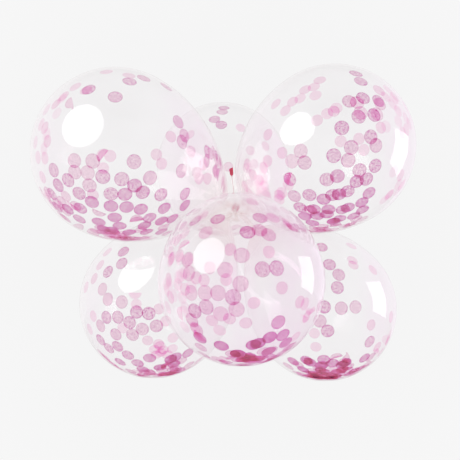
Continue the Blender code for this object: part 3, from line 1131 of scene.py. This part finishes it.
# Each of these has five numbers: right, up, the way of its fold and how far it is folded up, both in
# degrees, and its layers. A disc with no fold is flat.
DISCS_SPECIAL = {
    "top_left": [
        (-27, -4, 51, 150, 0.1), (-35, -106, 150, 140, 0.25), (-86, 94, 110, 105, 0.1),
        (34, -125, 20, 110, 0.25), (-84, -95, 130, 150, 0.1),
    ],
    "top_right": [
        (-79, -59, 60, 150, -0.05), (86, 103, 0, 0, 0.15), (46, 82, 0, 0, 0.15), (53, 63, 0, 0, 0.15),
        (83, 60, 0, 0, 0.15), (88, 79, 0, 0, 0.15), (-59, -6, 0, 0, 0.2), (-76, -25, 0, 0, 0.12),
        (-72, -92, 0, 0, 0.4), (-43, -90, 0, 0, 0.4), (-61, -114, 0, 0, 0.5),
    ],
    "front": [
        (-99, 60, 30, 150, 0.0), (-70, -92, 120, 150, 0.0), (-101, -56, 80, 140, -0.05),
        (55, 110, 0, 0, 0.1), (-62, 85, 0, 0, 0.05), (32, 89, 0, 0, 0.25), (48, 81, 0, 0, 0.2),
        (1, 45, 0, 0, 0.2), (-90, 14, 0, 0, 0.12), (-28, 20, 0, 0, 0.12), (-63, -20, 0, 0, 0.15),
        (-87, -20, 0, 0, 0.18), (-35, -56, 0, 0, 0.1), (64, -70, 0, 0, 0.62),
    ],
    "lower_left": [(-42, 20, 180, 150, -0.15), (24, -130, 60, 80, 0.3)],
    "lower_right": [(51, -101, 130, 75, 0.3), (27, -102, 20, 60, 0.2)],
    "back": [],
}

print({name: len(spots) for name, spots in DISCS_NEAR.items()}, "discs placed on the near walls")

# %% [markdown]
# The rest of the discs are drawn at random, in two ways. A scatter clings to the skin round one
# direction. A pile fills the lowest part of a balloon up to a level, with a few discs jumbled on top.
# The random draws start from a fixed number, so that the discs lie the same way each time.

# %% Heaps of discs
SCATTER_LEAN = 0.08
PILE_LEAN = 0.12
JUMBLED_WITHIN = 0.7
JUMBLED_LIFTS = (0.1, 1.0)
JUMBLED_LEANS = (0.1, 0.8)
JUMBLED_LAYERS = 0.42
MOUND = 5.0 * MM


class Scatter:
    """Discs that cling to the skin round one direction from a balloon's middle.

    way and spread are shares of right, up and towards the viewer. layers is how thick they are.
    """

    def __init__(self, way, spread, count, layers):
        self.way = np.array(way)
        self.spread = np.array(spread)
        self.count = count
        self.layers = layers

    def draw(self, balloon, dice):
        """Directions round the scatter's own, and each disc's lift, lean and layers."""
        shares = self.way + dice.normal(size=(self.count, 3)) * self.spread
        ways = unit(shares @ np.array(view_axes(balloon)))
        layers = np.full(self.count, self.layers)
        return ways, np.zeros(self.count), dice.uniform(0.0, SCATTER_LEAN, self.count), layers


class Pile:
    """Discs that fill a balloon's lowest part up to a level.

    aside is how far the pile's middle lies to the right, half_width how far it reaches to each side
    and depth how deep it is in its middle, all in millimetres. The last few lie jumbled on top, in a
    mound above the level.
    """

    def __init__(self, aside, half_width, depth, count, jumbled, layers):
        self.aside = aside * MM
        self.half_width = half_width * MM
        self.depth = depth * MM
        self.count = count + jumbled
        self.jumbled = jumbled
        self.layers = layers

    def draw(self, balloon, dice):
        """Places spread evenly over a circle, each lifted by a share of the room below the level."""
        right, up, toward = view_axes(balloon)
        turn = dice.uniform(0.0, math.tau, self.count)
        out = self.half_width * np.sqrt(dice.uniform(0.0, 1.0, self.count))
        top = np.arange(self.count) >= self.count - self.jumbled
        out[top] *= JUMBLED_WITHIN
        to_right = self.aside + out * np.cos(turn)
        to_viewer = out * np.sin(turn)
        drop = np.sqrt(balloon.radius ** 2 - to_right ** 2 - to_viewer ** 2)
        ways = unit(np.stack([to_right, -drop, to_viewer], -1) @ np.array([right, up, toward]))
        bottom = skin_reach(balloon, unit(self.aside * right - balloon.radius * up)[None])[0]
        room = np.maximum(skin_reach(balloon, ways) - (bottom - self.depth) / (ways @ -up), 0.0)
        lift = room * dice.uniform(0.0, 1.0, self.count)
        lean = dice.uniform(0.0, PILE_LEAN, self.count)
        lift[top] = room[top] + dice.uniform(*JUMBLED_LIFTS, self.jumbled) * MOUND
        lean[top] = dice.uniform(*JUMBLED_LEANS, self.jumbled)
        return ways, lift, lean, np.where(top, JUMBLED_LAYERS, self.layers)


HEAPS = {
    "top_left": [
        Scatter((0.0, -0.97, 0.05), (0.32, 0.05, 0.24), 24, 0.28),
        Scatter((-0.7, -0.68, -0.1), (0.12, 0.12, 0.25), 10, 0.25),
        Scatter((1.0, -0.12, -0.05), (0.05, 0.12, 0.25), 12, 0.25),
        Scatter((-0.86, 0.1, -0.3), (0.05, 0.35, 0.12), 9, -0.14),
        Pile(10, 64, 6, 18, 0, 0.2),
    ],
    "top_right": [
        Scatter((-0.1, -0.97, 0.0), (0.3, 0.05, 0.2), 20, 0.27),
        Scatter((-0.48, -0.85, 0.1), (0.12, 0.1, 0.15), 8, 0.15),
        Scatter((-0.76, -0.38, -0.45), (0.08, 0.13, 0.1), 9, -0.1),
        Scatter((0.74, 0.55, -0.3), (0.12, 0.14, 0.2), 7, -0.13),
        Scatter((0.85, -0.5, -0.25), (0.05, 0.15, 0.2), 9, -0.13),
        Scatter((0.85, 0.40, -0.25), (0.06, 0.14, 0.2), 7, -0.15),
        Pile(-10, 56, 6, 12, 0, 0.25),
    ],
    "front": [
        Scatter((0.12, -0.96, 0.12), (0.3, 0.05, 0.2), 22, 0.35),
        Scatter((-0.75, -0.1, -0.5), (0.2, 0.45, 0.2), 26, -0.17),
        Scatter((0.8, -0.5, -0.2), (0.06, 0.15, 0.15), 6, -0.1),
        Pile(18, 68, 10, 24, 3, 0.3),
    ],
    "lower_left": [
        Scatter((0.1, -0.96, 0.05), (0.3, 0.05, 0.22), 20, 0.3),
        Scatter((-0.65, -0.75, 0.1), (0.1, 0.1, 0.15), 8, 0.15),
        Pile(12, 60, 7, 20, 3, 0.25),
    ],
    "lower_right": [
        Scatter((0.10, -0.94, 0.30), (0.29, 0.02, 0.17), 31, 0.32),
        Scatter((0.10, -0.94, -0.27), (0.29, 0.02, 0.17), 24, 0.30),
        Scatter((0.9, -0.45, -0.1), (0.04, 0.12, 0.1), 6, -0.1),
        Pile(14, 66, 18, 12, 0, 0.32),
    ],
    "back": [
        Scatter((0.05, -0.97, 0.05), (0.3, 0.05, 0.25), 14, 0.2),
        Scatter((0.3, 0.2, -0.9), (0.4, 0.4, 0.1), 10, 0.05),
        Pile(0, 55, 6, 12, 2, 0.2),
    ],
}

print({name: sum(heap.count for heap in heaps) for name, heaps in HEAPS.items()}, "discs in heaps")

# %% [markdown]
# A disc is cut one inch across. It is a fan of triangles round its middle, laid flat against the skin
# and pushed back wherever it would poke through. Some discs are folded along a diameter, and the
# jumbled ones lean. All the discs of a balloon are worked out at once and joined in one piece. Each
# keeps a tone and a weight for its finish, and has its own part of a sheet of tissue as its UV map.

# %% The discs
DISC_RADIUS = 12.5 * MM
DISC_SIDES = 20
SEED = 20
SKIN_GAP = 1.2 * MM
GAP_RANGE = 1.6 * MM
NEAR_LAYERS = 0.41
THIN_LAYERS = 0.29
FAR_LAYERS = 0.03
LAYERS_VARY = (-0.06, 0.10)
# Painted shade: near discs low on the wall get more layers, so they are darker, for the dimmer light low in
# each balloon.
LOW_PAINTED_SHADE_LAYERS = {
    "top_left": 0.24, "top_right": 0.24, "back": 0.20, "front": 0.52, "lower_left": 0.28,
    "lower_right": 0.34,
}
LOW_ON_THE_WALL = (0.3, 0.8)
PLACED_LEAN = 0.05
CREASED_SHARE = 0.06
CREASE_ANGLES = (0.5, 2.6)
SHEET_SIZE = 40.0
NOT_QUITE_UP = 0.01

rim_turns = full_turn(DISC_SIDES)
DISC_PLAN = np.concatenate([[[0.0, 0.0]], np.stack([np.cos(rim_turns), np.sin(rim_turns)], -1)])


def kept_inside(balloon, points, gap):
    """Points pulled straight back towards the middle where they are nearer to the skin than the gap."""
    away = points - balloon.centre
    distance = np.linalg.norm(away, axis=-1, keepdims=True)
    limit = skin_reach(balloon, away / distance)[..., None] - gap
    return balloon.centre + away * np.minimum(1.0, limit / distance)


def disc_points(balloon, ways, lift, lean, crease, spin, gap):
    """The middle and the rim of each disc.

    A disc lies across its direction at the skin's reach less its lift. One half of it is folded up
    by its crease, the whole of it leans by a slope along one of its own diameters, and then it is
    kept inside the skin.
    """
    # A fixed direction that no disc points along exactly gives every disc its own two axes.
    first = unit(np.cross(ways, camera_up + NOT_QUITE_UP))[:, None]
    second = np.cross(ways[:, None], first)
    wide, high = DISC_PLAN.T * DISC_RADIUS
    folded = np.maximum(high, 0.0)
    high = np.minimum(high, 0.0) + folded * np.cos(crease)[:, None]
    cos, sin = np.cos(spin)[:, None], np.sin(spin)[:, None]
    shrink = 1 / np.sqrt(1 + lean ** 2)[:, None]
    wide, high = (wide * cos - high * sin) * shrink, (wide * sin + high * cos) * shrink
    inward = gap[:, None] + lift[:, None] + folded * np.sin(crease)[:, None] - lean[:, None] * wide
    reach = skin_reach(balloon, ways)[:, None] - inward
    flat = first * wide[..., None] + second * high[..., None]
    points = balloon.centre + ways[:, None] * reach[..., None] + flat
    return kept_inside(balloon, points, gap[:, None, None])


def make_discs(balloon, dice):
    """All the discs of one balloon, joined in one piece of fans with one tone for each disc."""
    special = np.array(DISCS_SPECIAL[balloon.name], float).reshape(-1, 5)
    near = sighted(balloon, DISCS_NEAR[balloon.name], False)
    thin = sighted(balloon, DISCS_THIN[balloon.name], False)
    far = sighted(balloon, DISCS_FAR[balloon.name], True)
    drawn = [heap.draw(balloon, dice) for heap in HEAPS[balloon.name]]
    # How low a near disc sits on the wall, which adds layers to it as painted shade.
    low = share_between(-near @ camera_up, *LOW_ON_THE_WALL)
    placed_ways = np.concatenate([sighted(balloon, special[:, :2], False), near, thin, far])
    placed_layers = np.concatenate([
        special[:, 4], NEAR_LAYERS + LOW_PAINTED_SHADE_LAYERS[balloon.name] * low, np.full(len(thin), THIN_LAYERS),
        np.full(len(far), FAR_LAYERS),
    ])
    placed = len(placed_ways)
    placed_discs = placed_ways, np.zeros(placed), dice.uniform(0.0, PLACED_LEAN, placed), placed_layers
    ways, lift, lean, layers = (np.concatenate(parts) for parts in zip(placed_discs, *drawn))
    count = len(ways)
    spin = dice.uniform(0.0, math.tau, count)
    crease = dice.uniform(*CREASE_ANGLES, count) * (dice.uniform(0.0, 1.0, count) < CREASED_SHARE)
    crease[:placed] = 0.0
    spin[:len(special)], crease[:len(special)] = np.radians(special[:, 2:4]).T
    layers = layers + dice.uniform(*LAYERS_VARY, count)
    gap = SKIN_GAP + dice.permutation(count) / count * GAP_RANGE
    points = disc_points(balloon, ways, lift, lean, crease, spin, gap)
    side = np.arange(DISC_SIDES)
    fan = np.stack([np.zeros(DISC_SIDES, int), 1 + side, 1 + (side + 1) % DISC_SIDES], -1)
    corners = len(DISC_PLAN)
    faces = (np.arange(count)[:, None, None] * corners + fan).reshape(-1, 3)
    made = finish_mesh("confetti_" + balloon.name, points, faces, tissue, smooth=False)
    add_values(made, "tone", np.repeat(dice.uniform(0.0, 1.0, count), corners))
    add_values(made, "layers", np.repeat(layers, corners))
    add_values(made, "rim", np.tile(np.arange(corners) > 0, count))
    lay_out(made, "sheet", DISC_PLAN + dice.uniform(0.0, SHEET_SIZE, (count, 1, 2)))
    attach(made, BODY)
    return made


for index, balloon in enumerate(BALLOONS):
    discs = make_discs(balloon, np.random.default_rng(SEED + index))
    print(discs.name, len(discs.data.polygons) // DISC_SIDES, "discs")

# %% [markdown]
# The ribbon is glossy gift ribbon with fine ribs across it. Its UV map runs along it in metres, so a
# wave pattern that follows the map lays the ribs square across, however the ribbon turns.

# %% The ribbon's finish
RIBS = 160.0
RIB_WAVINESS = 0.4
RIB_DEPTH = 0.1 * MM
RIB_STRENGTH = 0.4
RIBBON_CLOUDS = 30.0
RIBBON_ROUGHNESS = (0.24, 0.36)
LIGHTER_IN_CLOUDS = 0.5
LIGHTER_ON_RIBS = 0.4
CRIMSON_TONES = (0.46, 0.02, 0.08, 1.0), (0.78, 0.20, 0.28, 1.0)


def ribbon_material():
    """Glossy gift ribbon: crimson, with fine ribs across it."""
    made, start = new_material("crimson_ribbon")
    strip = chart_place(start, "strip")
    ribs = start.add(
        "ShaderNodeTexWave", {"wave_type": "BANDS", "bands_direction": "X"},
        {"Vector": strip, "Scale": RIBS, "Distortion": RIB_WAVINESS}, "Fac",
    )
    clouds = noise(start, strip, RIBBON_CLOUDS, detail=3.0)
    lighter = (LIGHTER_IN_CLOUDS * clouds + LIGHTER_ON_RIBS * ribs).clipped(0.0, 1.0)
    show(start.add(
        "ShaderNodeBsdfPrincipled", None,
        {"Base Color": mixed(lighter, *CRIMSON_TONES), "Roughness": ranged(clouds, RIBBON_ROUGHNESS),
         "Normal": raised(ribs, RIB_STRENGTH, RIB_DEPTH)},
    ))
    return made


crimson = ribbon_material()
print("the ribbon's finish has", len(crimson.node_tree.nodes), "nodes")

# %% [markdown]
# The ribbon is wound tight round the stubs of the necks, and one end of it rises between the upper
# balloons to a slanting cut. The windings are narrow bands round the tie in planes that differ, and
# the free end is one strip. It is twisted, so that it shows its edge low down and its face at the top.

# %% The ribbon
RIBBON_WIDTH = 8.0 * MM
RIBBON_THICKNESS = 0.6 * MM
RIBBON_RISE = 80.0 * MM
RIBBON_CURL = 4.0 * MM
WAY_PASSES = 30
BAND_STEPS = 72
BAND_WIDTH = 2.6 * MM
BAND_RADIUS = 7.4 * MM
BAND_LIFT = 0.5 * MM
BAND_WEAVE = 0.9 * MM
BAND_WEAVES = 3
BAND_PLANES = [(0.2, 1.0, 0.3), (1.0, 0.1, 0.4), (0.5, 0.6, -1.0), (-0.7, 0.5, 0.5)]
END_STEPS = 40
CUT_SLANT = 4.0 * MM
LEAST_TWIST = math.radians(28)
TWISTS_BETWEEN = (0.78, 0.85)
CHART_STEP = 1.0 * MM


def way_out():
    """The way up from the tie between the upper balloons, with the same angle left free to each."""
    upper = [balloon for balloon in BALLOONS if balloon.centre[2] > TIE[2]]
    way = unit(sum(balloon.axis for balloon in upper))
    for _ in range(WAY_PASSES):
        room = np.array([math.acos(way @ balloon.axis) - balloon.half_width for balloon in upper])
        for balloon, free in zip(upper, room):
            way = way + balloon.axis * (free - room.mean()) / 2
        way = unit(way)
    return way


def thick_strip(middles, sides, outs, width):
    """A closed flat bar along a path: four corners at each of its points, as a grid."""
    corners = [(-1, -1), (1, -1), (1, 1), (-1, 1)]
    rows = [middles + sides * (width / 2) * a + outs * (RIBBON_THICKNESS / 2) * b for a, b in corners]
    return np.stack(rows, 1)


def strip_faces(rows, closed):
    """The bar's four long walls, and its two ends if it isn't a ring."""
    row, corner = np.meshgrid(np.arange(rows if closed else rows - 1), np.arange(4), indexing="ij")
    after = (row + 1) % rows
    walls = np.stack([
        row * 4 + corner, row * 4 + (corner + 1) % 4, after * 4 + (corner + 1) % 4, after * 4 + corner,
    ], -1).reshape(-1, 4)
    if closed:
        return walls
    last = (rows - 1) * 4
    return np.concatenate([walls, [[3, 2, 1, 0], [last, last + 1, last + 2, last + 3]]])


def band(normal, radius):
    """A band round the tie: its middle line is a circle that weaves a little to its sides."""
    axis = unit(normal)
    turns = full_turn(BAND_STEPS)
    outs = circle_round(axis, turns)
    weave = BAND_WEAVE * np.sin(BAND_WEAVES * turns)
    return thick_strip(TIE + outs * radius + axis * weave[:, None], axis, outs, BAND_WIDTH)


def free_end():
    """The free end: it rises with a slight curl, and turns near its end, to a slanting cut."""
    rise = way_out()
    aside = unit(np.cross(rise, (0.0, 1.0, 0.0)))
    forward = np.cross(aside, rise)
    along = np.linspace(0.0, 1.0, END_STEPS)
    curl = np.outer(np.sin(math.pi * along), forward) * RIBBON_CURL
    twist = math.pi / 2 - (math.pi / 2 - LEAST_TWIST) * share_between(along, *TWISTS_BETWEEN)
    sides = np.outer(np.cos(twist), aside) + np.outer(np.sin(twist), forward)
    middles = TIE + np.outer(along, rise) * RIBBON_RISE + curl
    points = thick_strip(middles, sides, np.cross(sides, rise), RIBBON_WIDTH)
    cut = np.array([0.0, -1.0, -1.0, 0.0])
    points[-1] += cut[:, None] * rise * CUT_SLANT
    return points


def make_ribbon():
    """The windings and the free end, as one piece."""
    bands = [band(normal, BAND_RADIUS + index * BAND_LIFT) for index, normal in enumerate(BAND_PLANES)]
    points = np.concatenate([part.reshape(-1, 3) for part in bands + [free_end()]])
    faces = [strip_faces(BAND_STEPS, True) + index * BAND_STEPS * 4 for index in range(len(bands))]
    faces.append(strip_faces(END_STEPS, False) + len(bands) * BAND_STEPS * 4)
    made = finish_mesh("ribbon", points, np.concatenate(faces), crimson, smooth=False)
    rows = len(points) // 4
    lengthwise = np.repeat(np.arange(rows), 4) * CHART_STEP
    crosswise = np.tile([0.0, 1.0, 1.0, 0.0], rows) * RIBBON_WIDTH
    lay_out(made, "strip", np.stack([lengthwise, crosswise], -1))
    close_poles(made)
    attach(made, BODY)
    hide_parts("tie_ribbon")
    return made


print(make_ribbon().name, "rises along", np.round(way_out(), 3))
